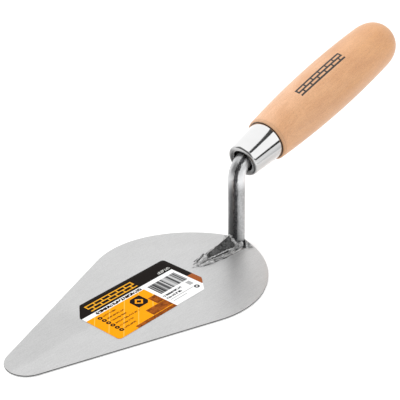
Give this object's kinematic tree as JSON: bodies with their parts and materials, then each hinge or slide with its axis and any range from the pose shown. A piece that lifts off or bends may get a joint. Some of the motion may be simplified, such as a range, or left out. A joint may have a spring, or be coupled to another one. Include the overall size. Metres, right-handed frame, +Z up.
{
  "type": "brick trowel",
  "caption": "Flat pointed steel trowel blade on a cranked round neck, with a metal ferrule and a turned wooden handle, for spreading mortar.",
  "frame": {"origin": "point where the neck's axis meets the blade's underside", "axes": "+X from the blade's tip towards the handle, +Y to the right of a person who holds the handle and looks towards the tip, +Z up out of the blade along the neck"},
  "size_m": [0.3208, 0.1012, 0.1031],
  "materials": {
    "ground_steel": "finely ground satin sheet steel",
    "bar_steel": "mottled bright drawn bar, lightly lacquered",
    "forged_steel": "dark scale with bright edges",
    "weld_metal": "as welded, rippled",
    "ferrule_plating": "polished plating",
    "handle_wood": "clear satin lacquer on beech",
    "label_paper": "gloss printed sticker"
  },
  "bodies": {
    "root": {"blade": "ground_steel", "tang": "bar_steel", "foot": "forged_steel", "toe_weld": "weld_metal", "foot_weld_right": "weld_metal", "foot_weld_left": "weld_metal", "neck_weld": "weld_metal", "heel_weld": "weld_metal", "ferrule": "ferrule_plating", "handle": "handle_wood", "label": "label_paper"}
  },
  "joints": []
}
